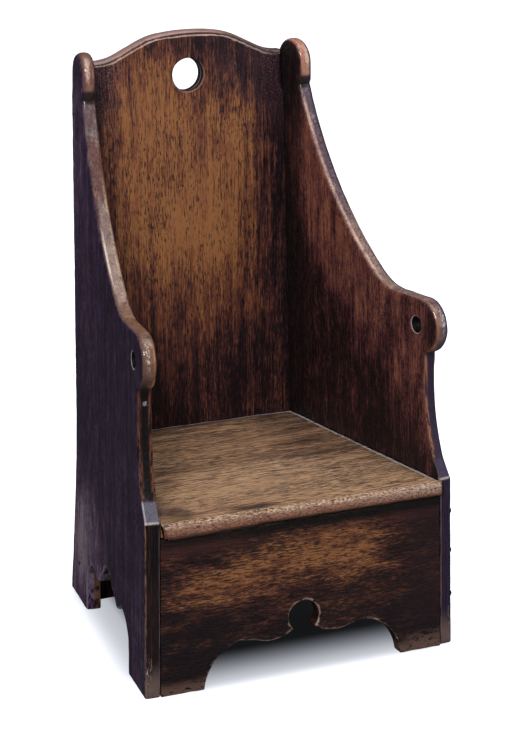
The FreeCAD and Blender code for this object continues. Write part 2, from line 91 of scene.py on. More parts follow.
def sawn_board(name, node, lay, round_over, step, wave, chips, wear=no_wear):
    """One board with its arrises worn round and its faces hand-planed. lay turns the frame's
    directions into the board's own millimetres, round_over gives each arris its rounding, and
    wear moves a point of the worn surface, all in those millimetres."""
    bm = bmesh.new()
    bm.from_mesh(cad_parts[node].data)
    bmesh.ops.remove_doubles(bm, verts=bm.verts, dist=2e-5)
    close_nail_holes(bm)
    bmesh.ops.dissolve_limit(bm, angle_limit=FLAT_ANGLE, verts=bm.verts, edges=bm.edges)
    while True:
        long = [e for e in bm.edges if is_arris(e) and e.calc_length() > LONGEST_ARRIS * MM]
        if not long:
            break
        bmesh.ops.subdivide_edges(bm, edges=long, cuts=1)
    weight = bm.edges.layers.float.new("bevel_weight_edge")
    arris = []
    for e in bm.edges:
        if is_arris(e) and e.is_convex:
            ends = [lay @ v.co for v in e.verts]
            arris.append(ends)
            e[weight] = round_over((ends[0] + ends[1]) / 2, ends[1] - ends[0]) / WIDEST_BEVEL
    mesh = bpy.data.meshes.new(name)
    bm.to_mesh(mesh)
    bm.free()
    rough = bpy.data.objects.new(name, mesh)
    bpy.context.scene.collection.objects.link(rough)
    bevel = rough.modifiers.new("worn_arris", "BEVEL")
    bevel.limit_method = "WEIGHT"
    bevel.width = WIDEST_BEVEL * MM
    bevel.segments = 4
    bevel.use_clamp_overlap = False
    bevel.loop_slide = True
    seen = rough.evaluated_get(bpy.context.evaluated_depsgraph_get())
    worn = bpy.data.meshes.new_from_object(seen)
    bpy.data.objects.remove(rough)

    points = []
    for a, b in arris:
        cuts = max(1, int((b - a).length / 1.5))
        points += [a.lerp(b, i / cuts) for i in range(cuts + 1)]
    near = kdtree.KDTree(len(points))
    for i, p in enumerate(points):
        near.insert(p, i)
    near.balance()

    bm = bmesh.new()
    bm.from_mesh(worn)
    back = lay.inverted()
    low = [min((lay @ v.co)[i] for v in bm.verts) for i in range(3)]
    high = [max((lay @ v.co)[i] for v in bm.verts) for i in range(3)]
    for axis in range(3):
        if high[axis] - low[axis] < 30:
            continue
        count = int((high[axis] - low[axis]) / step)
        for i in range(1, count):
            spot = Vector((0, 0, 0))
            spot[axis] = low[axis] + i * (high[axis] - low[axis]) / count
            along = Vector((0, 0, 0))
            along[axis] = 1
            normal = (back.to_3x3() @ along).normalized()
            bmesh.ops.bisect_plane(bm, geom=bm.verts[:] + bm.edges[:] + bm.faces[:],
                                   dist=0.25 * MM, plane_co=back @ spot, plane_no=normal)
    bm.normal_update()
    distance = bm.verts.layers.float.new("arris_mm")
    moves = []
    for v in bm.verts:
        p = lay @ v.co
        d = near.find(p)[2]
        v[distance] = d
        slow = noise.noise(p / PLANED_WAVE + Vector((3, 1, 7))) * 0.5 + 0.5
        quick = noise.noise(p / CHIP_LENGTH + Vector((9, 5, 2))) * 0.5 + 0.5
        cut = wave * slow + chips * math.exp(-(d / CHIP_REACH) ** 2) * quick * quick
        moves.append((v, v.normal * (-cut * MM) + back.to_3x3() @ wear(p)))
    for v, move in moves:
        v.co += move
    for f in bm.faces:
        f.smooth = True
    mesh = bpy.data.meshes.new(name)
    bm.to_mesh(mesh)
    bm.free()
    piece = bpy.data.objects.new(name, mesh)
    bpy.context.scene.collection.objects.link(piece)
    even = piece.modifiers.new("even_shading", "WEIGHTED_NORMAL")
    even.mode = "FACE_AREA"
    even.weight = 50
    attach(piece, "root")
    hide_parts(node)
    return piece


def side_lay(hand):
    """The frame's metres to a side board's millimetres: x through it from its outer face,
    y from its front to the back, z up. The right board is mirrored onto the left one."""
    turn = Matrix.Rotation(-SIDE_LEAN, 4, "Y") @ Matrix.Rotation(SIDE_TAPER, 4, "Z")
    shift = Matrix.Translation((HALF_WIDTH, -FRONT, 0))
    flip = Matrix.Diagonal((-hand / MM, 1 / MM, 1 / MM, 1))
    return turn @ shift @ flip


def lies_along(run, axis):
    """True where an arris runs mostly along one of the board's own directions."""
    return abs(run[axis]) > 0.7 * run.length


def side_rounding(hand):
    """How far each arris of a side board is worn round, in millimetres."""
    def round_over(p, run):
        outer = p.x < SIDE_THICKNESS / 2
        if lies_along(run, 0):
            if p.z < 6:
                return 5 if p.y < 40 and hand > 0 else 3
            return 2.5
        if abs(p.y - ROD_HOLE[0]) < 14 and abs(p.z - ROD_HOLE[1]) < 14:
            return 1.6
        if p.z > EAR_FOOT and p.y > 240:
            return 6.2
        if p.y > 300 and p.z < 590:
            return 2.6
        if p.z > ARM_FOOT:
            return 4.8
        if p.y < 30 and p.z > 5:
            if outer:
                return 7.0 if hand > 0 else 2.6
            return 1.6
        if p.z < 5:
            return 2.0
        return 1.8
    return round_over


def put(tree, kind, settings=None, inputs=None):
    """One node of a material, with its settings and what goes into it."""
    node = tree.nodes.new("ShaderNode" + kind)
    for key, value in (settings or {}).items():
        setattr(node, key, value)
    for key, value in (inputs or {}).items():
        if isinstance(value, bpy.types.NodeSocket):
            tree.links.new(value, node.inputs[key])
        else:
            node.inputs[key].default_value = value
    return node


def reckon(tree, sign, a, b=0.0):
    """One sum on two numbers."""
    return put(tree, "Math", {"operation": sign}, {0: a, 1: b}).outputs[0]


def scaled_sum(tree, a, b, c):
    """a times b, plus c."""
    return put(tree, "Math", {"operation": "MULTIPLY_ADD"}, {0: a, 1: b, 2: c}).outputs[0]


def rise(tree, value, low, high, start=0.0, end=1.0):
    """A soft step from start to end as the value goes from low to high."""
    return put(tree, "MapRange", {"interpolation_type": "SMOOTHSTEP"},
               {"Value": value, "From Min": low, "From Max": high,
                "To Min": start, "To Max": end}).outputs["Result"]


def tint(tree, factor, a, b):
    """Colour a turning into colour b."""
    return put(tree, "Mix", {"data_type": "RGBA"}, {0: factor, 6: a, 7: b}).outputs[2]


def spread(tree, position, sizes, detail=2.0, rough=0.5):
    """Soft noise whose grains are as large as sizes, in millimetres."""
    scaled = put(tree, "VectorMath", {"operation": "DIVIDE"}, {0: position, 1: sizes})
    return put(tree, "TexNoise", {"noise_dimensions": "3D"},
               {"Vector": scaled.outputs[0], "Scale": 1.0, "Detail": detail,
                "Roughness": rough}).outputs["Fac"]


def new_group(name, inputs, outputs):
    """An empty shader group with its sockets."""
    tree = bpy.data.node_groups.new(name, "ShaderNodeTree")
    for label, kind, value in inputs:
        socket = tree.interface.new_socket(label, in_out="INPUT", socket_type="NodeSocket" + kind)
        if value is not None:
            socket.default_value = value
    for label, kind in outputs:
        tree.interface.new_socket(label, in_out="OUTPUT", socket_type="NodeSocket" + kind)
    given = tree.nodes.new("NodeGroupInput").outputs
    kept = tree.nodes.new("NodeGroupOutput").inputs
    return tree, given, kept


def wood_grain():
    """Grain of a sawn board. Position runs across, through and along the grain, in mm."""
    tree, given, kept = new_group("wood_grain", [("Position", "Vector", None),
                                                 ("Seed", "Vector", None)],
                                  [("Bands", "Float"), ("Lines", "Float"), ("Fibre", "Float")])
    moved = put(tree, "VectorMath", {"operation": "ADD"},
                {0: given["Position"], 1: given["Seed"]}).outputs[0]
    drift = spread(tree, moved, (60, 60, 420), 1.0)
    bend = put(tree, "CombineXYZ", {}, {0: rise(tree, drift, 0.2, 0.8, -7, 7)}).outputs[0]
    bent = put(tree, "VectorMath", {"operation": "ADD"}, {0: moved, 1: bend}).outputs[0]
    for label, sizes, detail in (("Bands", (9, 30, 300), 4.0), ("Lines", (1.5, 8, 60), 3.0),
                                 ("Fibre", (0.8, 3, 12), 2.0)):
        grain = spread(tree, bent, sizes, detail, 0.65)
        tree.links.new(rise(tree, grain, 0.35, 0.65), kept[label])
    return tree


def pits():
    """Small holes and clots of old dirt, drawn out along the grain and gathered in places."""
    tree, given, kept = new_group("pits", [("Position", "Vector", None),
                                           ("Spacing", "Vector", (3, 3, 7)),
                                           ("Cover", "Float", 0.3)],
                                  [("Mask", "Float")])
    grains = spread(tree, given["Position"], given["Spacing"], 2.0, 0.6)
    gathered = rise(tree, spread(tree, given["Position"], (28, 28, 70), 2.0), 0.3, 0.7, -0.5, 1.0)
    share = reckon(tree, "MULTIPLY", gathered, 0.08)
    share = reckon(tree, "ADD", share, reckon(tree, "MULTIPLY", given["Cover"], 0.25))
    line = reckon(tree, "SUBTRACT", 0.70, share)
    over = reckon(tree, "SUBTRACT", grains, line)
    tree.links.new(rise(tree, over, 0.0, 0.05), kept["Mask"])
    return tree


def patch():
    """An oval place on a board with a frayed edge: 1 inside, 0 outside."""
    tree, given, kept = new_group("patch", [("Position", "Vector", None),
                                            ("Centre", "Vector", None),
                                            ("Reach", "Vector", (50, 500, 50))],
                                  [("Mask", "Float")])
    away = put(tree, "VectorMath", {"operation": "SUBTRACT"},
               {0: given["Position"], 1: given["Centre"]}).outputs[0]
    share = put(tree, "VectorMath", {"operation": "DIVIDE"},
                {0: away, 1: given["Reach"]}).outputs[0]
    length = put(tree, "VectorMath", {"operation": "LENGTH"}, {0: share}).outputs["Value"]
    ragged = spread(tree, given["Position"], (7, 20, 90), 4.0, 0.65)
    frayed = scaled_sum(tree, reckon(tree, "SUBTRACT", ragged, 0.5), 1.3, length)
    tree.links.new(reckon(tree, "SUBTRACT", 1.0, rise(tree, frayed, 0.5, 1.5)), kept["Mask"])
    return tree


def worn_edge():
    """Where hands and feet wore an arris pale. Distance is from the arris, in millimetres."""
    tree, given, kept = new_group("worn_edge", [("Distance", "Float", 50.0),
                                                ("Position", "Vector", None),
                                                ("Width", "Float", 3.0)],
                                  [("Mask", "Float")])
    ragged = rise(tree, spread(tree, given["Position"], (6, 6, 14), 4.0, 0.65), 0.3, 0.7, 0.2, 1.5)
    width = reckon(tree, "MULTIPLY", given["Width"], ragged)
    share = reckon(tree, "DIVIDE", given["Distance"], width)
    tree.links.new(rise(tree, share, 1.2, 0.5), kept["Mask"])
    return tree


def rubbed_finish():
    """Old stained and waxed wood: black grime, dark stain, warm wood and bare gold by how far
    the surface is rubbed, with grain, specks, pits and worn arrises."""
    tree, given, kept = new_group(
        "rubbed_finish",
        [("Position", "Vector", None), ("Seed", "Vector", None), ("Rub", "Float", 0.5),
         ("Edge", "Float", 0.0), ("Streak", "Float", 0.25), ("Mottle", "Float", 0.25),
         ("Pitting", "Float", 0.3), ("Crack", "Float", 0.0),
         ("Grime", "Color", None), ("Stain", "Color", None), ("Warm", "Color", None),
         ("Bare", "Color", None), ("Worn", "Color", None)],
        [("Color", "Color"), ("Roughness", "Float"), ("Height", "Float")])
    place = given["Position"]
    grain = put(tree, "Group", {"node_tree": wood_grain_group},
                {"Position": place, "Seed": given["Seed"]})
    bands, lines, fibre = grain.outputs
    mottle = rise(tree, spread(tree, place, (2.6, 2.6, 6), 4.0, 0.7), 0.35, 0.65)
    blotch = rise(tree, spread(tree, place, (14, 14, 26), 3.0, 0.6), 0.3, 0.7)
    level = given["Rub"]
    for value, amount, share in ((bands, given["Streak"], 0.6), (lines, given["Streak"], 0.7),
                                 (fibre, given["Streak"], 0.9), (mottle, given["Mottle"], 0.8),
                                 (blotch, given["Mottle"], 0.9)):
        swing = reckon(tree, "MULTIPLY", reckon(tree, "SUBTRACT", value, 0.5), share)
        level = scaled_sum(tree, swing, amount, level)
    holes = put(tree, "Group", {"node_tree": pits_group},
                {"Position": place, "Spacing": (1.5, 3, 6), "Cover": given["Pitting"]}).outputs[0]
    holes = reckon(tree, "MAXIMUM", holes, given["Crack"])
    dark = tint(tree, rise(tree, level, 0.0, 0.30), given["Grime"], given["Stain"])
    mid = tint(tree, rise(tree, level, 0.28, 0.62), dark, given["Warm"])
    gold = tint(tree, rise(tree, level, 0.60, 1.0), mid, given["Bare"])
    fine = tint(tree, reckon(tree, "MULTIPLY", holes, 0.8), gold, given["Grime"])
    worn = reckon(tree, "MULTIPLY", given["Edge"], rise(tree, fibre, 0.0, 0.8, 0.7, 1.0))
    tree.links.new(tint(tree, worn, fine, given["Worn"]), kept["Color"])
    gloss = rise(tree, mottle, 0.0, 1.0, 0.38, 0.52)
    dull = scaled_sum(tree, holes, 0.25, gloss)
    handled = reckon(tree, "MULTIPLY", given["Edge"], 0.2)
    tree.links.new(reckon(tree, "SUBTRACT", dull, handled), kept["Roughness"])
    groove = reckon(tree, "ADD", reckon(tree, "MULTIPLY", lines, 0.35),
                    reckon(tree, "MULTIPLY", fibre, 0.3))
    rolled = reckon(tree, "ADD", groove, reckon(tree, "MULTIPLY", mottle, 0.35))
    tree.links.new(reckon(tree, "SUBTRACT", rolled, reckon(tree, "MULTIPLY", holes, 0.6)),
                   kept["Height"])
    return tree


def crack():
    """One thin split that runs along the grain between two places."""
    tree, given, kept = new_group("crack", [("Position", "Vector", None), ("Across", "Float", 0.0),
                                            ("From", "Float", 0.0), ("To", "Float", 100.0),
                                            ("Width", "Float", 0.6)],
                                  [("Mask", "Float")])
    parts = put(tree, "SeparateXYZ", {}, {0: given["Position"]}).outputs
    along = put(tree, "CombineXYZ", {}, {2: parts[2]}).outputs[0]
    sway = rise(tree, spread(tree, along, (9, 9, 14), 3.0, 0.6), 0.2, 0.8, -3, 3)
    off = reckon(tree, "ABSOLUTE", reckon(tree, "SUBTRACT", reckon(tree, "ADD", parts[0], sway),
                                          given["Across"]))
    share = reckon(tree, "DIVIDE", off, given["Width"])
    start = rise(tree, reckon(tree, "SUBTRACT", parts[2], given["From"]), 0, 12)
    stop = rise(tree, reckon(tree, "SUBTRACT", given["To"], parts[2]), 0, 12)
    thin = rise(tree, share, 1.4, 0.6)
    tree.links.new(reckon(tree, "MULTIPLY", reckon(tree, "MULTIPLY", start, stop), thin),
                   kept["Mask"])
    return tree


wood_grain_group = wood_grain()
crack_group = crack()
pits_group = pits()
patch_group = patch()
worn_edge_group = worn_edge()
finish_group = rubbed_finish()


def drawn_out(tree, position, share):
    """The same position with everything along the grain drawn out longer."""
    return put(tree, "VectorMath", {"operation": "MULTIPLY"},
               {0: position, 1: (1, 1, share)}).outputs[0]


def lay_nodes(tree, lay, order):
    """The board's own millimetres inside its material, in the order across, through, along."""
    shift, turn, scale = lay.decompose()
    place = put(tree, "TexCoord").outputs["Object"]
    own = put(tree, "Mapping", {"vector_type": "POINT"},
              {"Vector": place, "Location": shift, "Rotation": turn.to_euler(), "Scale": scale})
    parts = put(tree, "SeparateXYZ", {}, {0: own.outputs[0]}).outputs
    turned = put(tree, "CombineXYZ", {}, {i: parts[axis] for i, axis in enumerate(order)})
    return turned.outputs[0], parts


def patches(tree, position, start, places):
    """A number over the board: start, plus each patch's strength inside its oval."""
    total = start
    for across, along, half_across, half_along, strength in places:
        spot = put(tree, "Group", {"node_tree": patch_group},
                   {"Position": position, "Centre": (across, 0, along),
                    "Reach": (half_across, 9000, half_along)}).outputs[0]
        total = scaled_sum(tree, spot, strength, total)
    return total


def cracks(tree, position, places):
    """All the splits of one board together."""
    total = None
    for across, start, end, width in places:
        mask = put(tree, "Group", {"node_tree": crack_group},
                   {"Position": position, "Across": across, "From": start, "To": end,
                    "Width": width}).outputs[0]
        total = mask if total is None else reckon(tree, "MAXIMUM", total, mask)
    return total


def colour(red, green, blue):
    """A colour as the eye sees it on a screen, 0 to 255, as the linear colour of a material."""
    def line(c):
        c = c / 255
        return c / 12.92 if c <= 0.04045 else ((c + 0.055) / 1.055) ** 2.4
    return (line(red), line(green), line(blue), 1.0)


def board_material(name):
    """An empty material with its shader, ready for a board's finish."""
    material = bpy.data.materials.new(name)
    material.use_nodes = True
    tree = material.node_tree
    tree.nodes.clear()
    shader = put(tree, "BsdfPrincipled", {}, {"Specular IOR Level": 0.26})
    put(tree, "OutputMaterial", {}, {"Surface": shader.outputs[0]})
    return material, tree, shader


def facing(tree, direction):
    """How squarely the surface faces a direction: 1 straight at it, 0 along it, -1 away."""
    normal = put(tree, "NewGeometry").outputs["Normal"]
    return put(tree, "VectorMath", {"operation": "DOT_PRODUCT"},
               {0: normal, 1: direction}).outputs["Value"]


def band(tree, value, low, high, soft=2.0):
    """1 where the value lies between low and high, 0 beyond the soft borders."""
    return reckon(tree, "MULTIPLY", rise(tree, value, low - soft, low + soft),
                  rise(tree, value, high + soft, high - soft))


def together(tree, *masks):
    """Where every one of the masks holds."""
    total = masks[0]
    for mask in masks[1:]:
        total = reckon(tree, "MULTIPLY", total, mask)
    return total


def specks(tree, position, sizes, line):
    """Scattered specks, drawn out by sizes; the higher the line, the fewer of them."""
    return rise(tree, spread(tree, position, sizes, 2.0, 0.6), line, line + 0.06)


def dress(tree, shader, relief, inputs, layers=()):
    """Puts the old finish on a board's shader, and each layer's colour where its mask is."""
    coat = put(tree, "Group", {"node_tree": finish_group}, inputs).outputs
    shown = coat["Color"]
    for mask, paint in layers:
        shown = tint(tree, mask, shown, paint)
    bump = put(tree, "Bump", {}, {"Height": coat["Height"], "Strength": relief,
                                  "Distance": 0.0006})
    tree.links.new(shown, shader.inputs["Base Color"])
    tree.links.new(coat["Roughness"], shader.inputs["Roughness"])
    tree.links.new(bump.outputs[0], shader.inputs["Normal"])


def arris_distance(tree):
    """How far each point lies from the nearest arris, in millimetres, as kept on the piece."""
    return put(tree, "Attribute", {"attribute_type": "GEOMETRY",
                                   "attribute_name": "arris_mm"}).outputs["Fac"]


def arris_mask(tree, position, width):
    """The worn-edge mask of a piece."""
    return put(tree, "Group", {"node_tree": worn_edge_group},
               {"Distance": arris_distance(tree), "Position": position,
                "Width": width}).outputs[0]


def from_middle(tree, a, b):
    """How far a point lies from the middle of a hole, by its distance in two directions."""
    flat = put(tree, "CombineXYZ", {}, {0: a, 1: b}).outputs[0]
    return put(tree, "VectorMath", {"operation": "LENGTH"}, {0: flat}).outputs["Value"]


def coat_board(board, material):
    """Lays a finish on a board in place of the one that its solid had."""
    board.data.materials.clear()
    board.data.materials.append(material)


INNER_COLOURS = {"Grime": colour(28, 17, 19), "Stain": colour(60, 33, 34),
                 "Warm": colour(104, 60, 57), "Bare": colour(142, 90, 66)}
OUTER_COLOURS = {"Grime": colour(26, 9, 28), "Stain": colour(50, 26, 62),
                 "Warm": colour(84, 60, 86), "Bare": colour(136, 118, 130)}
INNER_PLACES = [(225, 480, 48, 80, 0.6), (150, 385, 80, 48, 0.5), (70, 335, 50, 60, 0.35),
                (135, 315, 26, 36, 0.3), (62, 272, 26, 50, 0.24), (20, 262, 12, 56, 0.5)]
OUTER_PLACES = [(250, 440, 70, 150, 0.16), (300, 520, 40, 110, 0.2), (300, 50, 40, 90, 0.36),
                (235, 80, 60, 60, 0.42), (20, 50, 36, 70, 0.2), (150, 170, 110, 70, 0.05),
                (290, 90, 60, 80, 0.16)]
ARM_COLOURS = {
    -1: {"sweep": (104, 68, 60), "bend": (132, 98, 82), "knob": (120, 86, 64),
         "ear": (122, 80, 68), "notch": (100, 94, 100), "shade": (56, 34, 34),
         "light": (164, 134, 112)},
    1: {"sweep": (100, 80, 92), "bend": (146, 116, 106), "knob": (122, 88, 76),
        "ear": (182, 124, 102), "notch": (88, 80, 98), "shade": (60, 40, 44),
        "light": (180, 152, 138)}}


def side_finish(hand):
    """Stained side board: near-black flat faces, waxed brown arms, sweeps and ears, and front
    edges rubbed down to the wood. Highlights are painted on the ears, sweeps and knob, and
    shade is painted under the ears and knobs, along the outer arris, in the rod hole and next
    to the back board."""
    material, tree, shader = board_material("left_side_finish" if hand < 0 else "right_side_finish")
    position, own = lay_nodes(tree, side_lay(hand), (1, 0, 2))
    through, depth, height = own
    across = (side_lay(hand).inverted().to_3x3() @ Vector((1, 0, 0))).normalized()
    slope = reckon(tree, "ABSOLUTE", facing(tree, across))
    sawn = rise(tree, slope, 0.92, 0.5)
    inner = rise(tree, through, 7.0, 9.5)
    handled = reckon(tree, "MULTIPLY", rise(tree, height, 308, 314), rise(tree, depth, 308, 300))
    handled = reckon(tree, "MAXIMUM", handled, rise(tree, height, 560, 566))
    strip = reckon(tree, "MULTIPLY", sawn, handled)
    inside = patches(tree, position, 0.08, INNER_PLACES)
    outside = patches(tree, position, 0.15, OUTER_PLACES)
    rub = put(tree, "Mix", {}, {0: inner, 2: outside, 3: inside}).outputs[0]
    width = reckon(tree, "ADD", rise(tree, handled, 0, 1, 1.6, 2.2),
                   rise(tree, height, 120, 90, 0, 1.6))
    edge = together(tree, arris_mask(tree, position, width), rise(tree, height, 120, 90, 0.4, 0.75))
    inputs = {"Position": position, "Seed": (0, 0, 40 * hand), "Rub": rub, "Edge": edge,
              "Streak": 0.36, "Mottle": 0.3, "Pitting": 0.35,
              "Worn": tint(tree, inner, colour(134, 118, 138), colour(126, 88, 70))}
    for label in INNER_COLOURS:
        inputs[label] = tint(tree, inner, OUTER_COLOURS[label], INNER_COLOURS[label])

    paint = {name: colour(*shade) for name, shade in ARM_COLOURS[hand].items()}
    tone = spread(tree, position, (8, 8, 26), 4.0, 0.65)
    fine = spread(tree, position, (1.6, 1.6, 4), 3.0, 0.6)
    skin = tint(tree, rise(tree, height, 470, 400), paint["sweep"], paint["bend"])
    skin = tint(tree, rise(tree, height, 376, 364), skin, paint["knob"])
    skin = tint(tree, rise(tree, height, 562, 568), skin, paint["ear"])
    skin = tint(tree, together(tree, band(tree, height, 522, 562, 14),
                               rise(tree, tone, 0.38, 0.58, 0, 0.8)), skin, paint["notch"])
    skin = tint(tree, rise(tree, tone, 0.47, 0.3, 0, 0.7), skin, paint["shade"])
    skin = tint(tree, rise(tree, tone, 0.52, 0.7, 0, 0.7), skin, paint["light"])
    # Painted shade: a near-black band in the notch under each ear.
    skin = tint(tree, together(tree, band(tree, height, 558, 572, 2), 0.96), skin,
                colour(24, 17, 20))
    # Painted shade: a dark band across the underside of the knob.
    skin = tint(tree, together(tree, band(tree, height, 300, 322, 6), 0.8), skin,
                colour(30, 19, 20))
    skin = tint(tree, rise(tree, fine, 0.5, 0.32, 0, 0.65), skin, paint["shade"])
    turned = together(tree, rise(tree, through, 12, 7), band(tree, height, 300, 366, 6))
    skin = tint(tree, together(tree, turned, rise(tree, tone, 0.3, 0.5, 0.35, 0.85)), skin,
                colour(112, 78, 62) if hand < 0 else colour(100, 84, 102))
    # Painted shade: the outer half of the knob darkens towards its underside.
    skin = tint(tree, together(tree, turned, rise(tree, height, 338, 318, 0, 0.8)), skin,
                colour(40, 28, 34))
    # Painted shade: a dark line along the outer arris where it turns from the light, strong on the
    # right board.
    skin = tint(tree, rise(tree, through, 6.5, 3.5, 0, 0.75 if hand > 0 else 0.2), skin,
                colour(50, 36, 44))
    skin = tint(tree, together(tree, specks(tree, position, (2, 2, 5), 0.54),
                               band(tree, height, 380, 540, 20), 0.75 if hand > 0 else 0.5), skin,
                paint["shade"])

    outer_face = together(tree, rise(tree, through, 6, 2), rise(tree, sawn, 0.6, 0.2))
    inner_face = together(tree, rise(tree, through, 10, 14), rise(tree, sawn, 0.6, 0.2))
    scratches = specks(tree, position, (1.0, 4, 10), 0.63)
    front = together(tree, sawn, rise(tree, depth, 46, 36))
    upper = together(tree, front, band(tree, height, 205, 311, 3))
    lower = together(tree, front, rise(tree, height, 184, 182))
    streaks = rise(tree, spread(tree, position, (2.2, 2.2, 22), 3.0, 0.65), 0.38, 0.6)
    black, brown = colour(20, 13, 15), colour(34, 22, 22)
    gold = colour(120, 70, 48) if hand < 0 else colour(168, 112, 72)
    step = together(tree, front, band(tree, height, 184, 203, 1.5))
    # Painted highlight: a small bluish glint on the left board's front edge under the knob.
    left_painted_glint = [(together(tree, front, band(tree, height, 297, 301, 1),
                            band(tree, through, 7, 12, 1.5), rise(tree, fine, 0.4, 0.6)),
                   colour(150, 152, 168))] if hand < 0 else []
    layers = [
        (together(tree, outer_face, rise(tree, depth, 26, 8), rise(tree, height, 340, 280), 0.5),
         colour(28, 28, 44)),
        (together(tree, outer_face, scratches, rise(tree, height, 330, 60, 0.15, 0.6)),
         colour(108, 88, 112)),
        (together(tree, outer_face, scratches, rise(tree, height, 430, 520, 0, 0.6)),
         colour(130, 128, 146)),
        (together(tree, outer_face, rise(tree, depth, 290, 300),
                  rise(tree, height, 480, 560, 0.1, 0.7),
                  specks(tree, position, (3, 3, 8), 0.5)), colour(112, 110, 124)),
        (together(tree, inner_face, specks(tree, position, (1.6, 2, 2), 0.7),
                  rise(tree, height, 380, 470, 0.1, 0.6)), colour(176, 156, 152)),
        (strip, skin),
        # Painted highlight: a pale streak down the rounded front of each ear.
        (together(tree, strip, band(tree, through, 5, 9, 1.5), band(tree, height, 582, 602, 6),
                  rise(tree, fine, 0.36, 0.56, 0.3, 0.9)), colour(212, 180, 162)),
        # Painted highlight along the outer arris of the sweep, bright on the left board and faint
        # on the right.
        (together(tree, strip, band(tree, through, 2.6, 4.2, 0.9), band(tree, height, 396, 436, 14),
                  rise(tree, fine, 0.3, 0.5, 0.4, 1.0)),
         colour(228, 208, 192) if hand < 0 else colour(150, 124, 116)),
        # Painted highlight along the inner arris of the sweep.
        (together(tree, strip, band(tree, through, 12, 15, 1.2),
                  band(tree, height, 384, 480, 20) if hand < 0
                  else band(tree, height, 380, 548, 16),
                  rise(tree, fine, 0.3, 0.55, 0.25, 0.85), rise(tree, tone, 0.34, 0.56, 0.35, 1)),
         colour(190, 164, 140) if hand < 0 else colour(208, 166, 144)),
        (together(tree, strip, band(tree, through, 12.4, 15.6, 1), band(tree, height, 316, 362, 6),
                  rise(tree, tone, 0.3, 0.55, 0.3, 0.9)), colour(152, 100, 70)),
        # Painted highlight: a pale curl on the front of the knob.
        (together(tree, strip, band(tree, through, 5, 9, 1.5), band(tree, height, 338, 362, 5),
                  rise(tree, fine, 0.46, 0.6, 0, 0.85)), colour(210, 198, 190)),
        # Painted shade: black on the front edge just under the knob.
        (together(tree, front, band(tree, height, 292, 313, 5)), black),
        (upper, black if hand < 0 else colour(50, 36, 58)),
        (together(tree, upper, rise(tree, through, 6, 3.5), streaks,
                  0.7 if hand < 0 else 0.2), gold),
        *left_painted_glint,
        (together(tree, inner_face, rise(tree, depth, 30, 12), band(tree, height, 215, 300, 10),
                  streaks, 0.7), colour(142, 90, 64)),
        (together(tree, upper, rise(tree, through, 11, 14), streaks, 0.8), gold),
        (lower, tint(tree, rise(tree, height, 150, 100), black, brown) if hand < 0
         else colour(46, 33, 56)),
        (together(tree, lower, rise(tree, streaks, 0.5, 1, 0, 0.5)), black),
        (together(tree, lower, specks(tree, position, (1.6, 1.6, 26), 0.54),
                  rise(tree, through, 12, 4, 0.15, 0.6)),
         colour(66, 38, 32) if hand < 0 else colour(60, 44, 64)),
        (together(tree, lower, rise(tree, height, 44, 10, 0, 0.85),
                  rise(tree, tone, 0.36, 0.56, 0.4, 1)), colour(112, 92, 86)),
        (together(tree, lower, band(tree, height, 12, 44, 6), rise(tree, through, 9, 4),
                  specks(tree, position, (2, 2, 6), 0.57)), colour(160, 142, 134)),
        (together(tree, lower, rise(tree, through, 2.8, 1.4),
                  rise(tree, streaks, 0, 1, 0.05, 0.85)),
         colour(144, 102, 76) if hand < 0 else colour(90, 74, 92)),
        (together(tree, lower, rise(tree, through, 14.6, 15.6),
                  rise(tree, streaks, 0, 1, 0.2, 0.7)), colour(126, 112, 120)),
        # The step's facet: worn pale blue-grey wood, also painted lighter where it faces up to the
        # light.
        (together(tree, step, rise(tree, fine, 0.3, 0.55, 0.55, 1.0)),
         colour(96, 93, 106) if hand < 0 else colour(66, 56, 80)),
        (together(tree, front, band(tree, height, 183.5, 185.5, 0.8),
                  rise(tree, tone, 0.35, 0.6, 0.3, 0.9)), colour(190, 178, 172)),
        (together(tree, step, band(tree, through, 1.4, 2.6, 0.7),
                  rise(tree, tone, 0.35, 0.6, 0.3, 0.9)), colour(186, 176, 178)),
    ]
    bored = from_middle(tree, reckon(tree, "SUBTRACT", depth, ROD_HOLE[0]),
                        reckon(tree, "SUBTRACT", height, ROD_HOLE[1]))
    near_hole = rise(tree, bored, 14, 13)
    # The rod hole's rim: worn pale, with a painted glint.
    rim = together(tree, near_hole, band(tree, slope, 0.5, 0.96, 0.03),
                   rise(tree, tone, 0.3, 0.5, 0.5, 1))
    layers += [
        # Painted shade on the inner face next to the back board.
        (together(tree, inner_face, rise(tree, depth, 244, 266, 0, 0.6)), colour(19, 15, 15)),
        # Painted shade: the wall of the rod hole made near-black.
        (together(tree, near_hole, rise(tree, slope, 0.6, 0.5)), colour(14, 10, 14)),
        (rim, colour(158, 140, 140))]
    dress(tree, shader, 0.5, inputs, layers)
    wax = together(tree, strip, rise(tree, bored, 13, 14), rise(tree, tone, 0.3, 0.6, 0.5, 1.0),
                   reckon(tree, "SUBTRACT", 1, band(tree, height, 470, 560, 8)))
    tree.links.new(wax, shader.inputs["Coat Weight"])
    shader.inputs["Coat Roughness"].default_value = 0.12
    return material


for hand, board_name in ((-1, "left_side"), (1, "right_side")):
    side = sawn_board(board_name, board_name + "_board", side_lay(hand), side_rounding(hand),
                      8, 0.3, 0.9)
    coat_board(side, side_finish(hand))


# Back board: one upright board let in between the sides down to the floor, with a double-curved
# crest worn round by hands and a hand hole bored below it.
BACK_FRONT = 280.5
HAND_HOLE_HEIGHT = 576.5
BACK_LAY = (Matrix.Translation((0, -FRONT - BACK_FRONT, 0))
            @ Matrix.Diagonal((1000, 1000, 1000, 1)))


def back_rounding(p, run):
    if lies_along(run, 1):
        return 1.0
    if math.hypot(p.x, p.z - HAND_HOLE_HEIGHT) < 24:
        return 1.8
    if p.z > 560:
        return 6.5 if p.y < 8 else 4.0
    return 0.9


